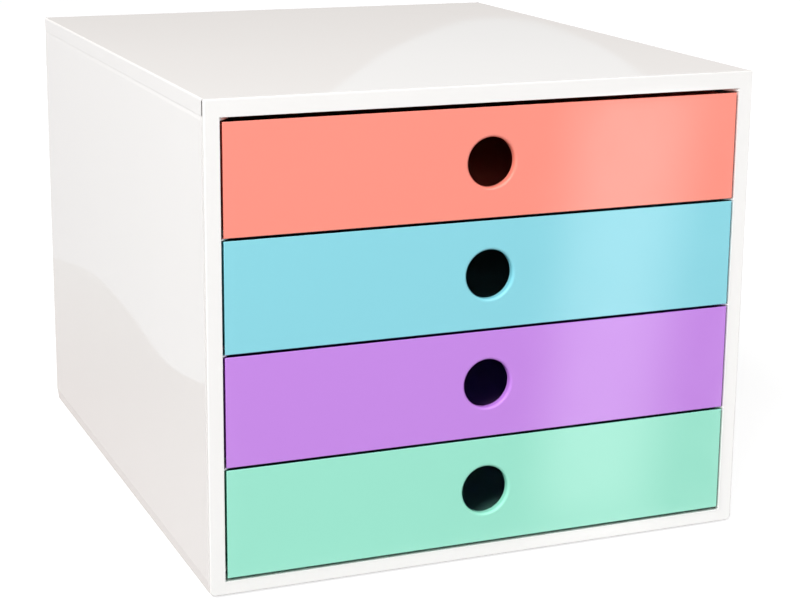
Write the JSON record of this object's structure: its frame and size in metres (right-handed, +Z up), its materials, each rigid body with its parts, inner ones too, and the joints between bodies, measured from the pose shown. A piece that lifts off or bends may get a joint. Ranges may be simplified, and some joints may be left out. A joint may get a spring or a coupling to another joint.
{
  "type": "desk drawer tower",
  "caption": "Glossy plastic desk drawer tower: a white box casing with stacked coloured drawers, each pulled by a round finger hole.",
  "frame": {"origin": "centre of the footprint, on the surface that the feet stand on", "axes": "+X to the right as seen from the front, +Y towards the rear panel, +Z up"},
  "size_m": [0.292, 0.34, 0.2455],
  "materials": {
    "casing_plastic": "high gloss moulded",
    "coral_plastic": "high gloss moulded",
    "blue_plastic": "high gloss moulded",
    "violet_plastic": "high gloss moulded",
    "mint_plastic": "high gloss moulded",
    "foot_rubber": "matte"
  },
  "bodies": {
    "casing": {"front_frame": "casing_plastic", "top_cover": "casing_plastic", "base_tray": "casing_plastic", "rear_panel": "casing_plastic", "side_panel_left": "casing_plastic", "side_panel_right": "casing_plastic", "runner_coral_left": "casing_plastic", "runner_coral_right": "casing_plastic", "runner_blue_left": "casing_plastic", "runner_blue_right": "casing_plastic", "runner_violet_left": "casing_plastic", "runner_violet_right": "casing_plastic", "runner_mint_left": "casing_plastic", "runner_mint_right": "casing_plastic", "foot_front_left": "foot_rubber", "foot_front_right": "foot_rubber", "foot_rear_left": "foot_rubber", "foot_rear_right": "foot_rubber"},
    "drawer_coral": {"drawer_coral": "coral_plastic"},
    "drawer_blue": {"drawer_blue": "blue_plastic"},
    "drawer_violet": {"drawer_violet": "violet_plastic"},
    "drawer_mint": {"drawer_mint": "mint_plastic"}
  },
  "joints": [
    {"name": "coral_slide", "type": "slide", "parent": "casing", "child": "drawer_coral", "axis": [0, -1, 0], "range_m": [0, 0.2785]},
    {"name": "blue_slide", "type": "slide", "parent": "casing", "child": "drawer_blue", "axis": [0, -1, 0], "range_m": [0, 0.2785]},
    {"name": "violet_slide", "type": "slide", "parent": "casing", "child": "drawer_violet", "axis": [0, -1, 0], "range_m": [0, 0.2785]},
    {"name": "mint_slide", "type": "slide", "parent": "casing", "child": "drawer_mint", "axis": [0, -1, 0], "range_m": [0, 0.2785]}
  ]
}
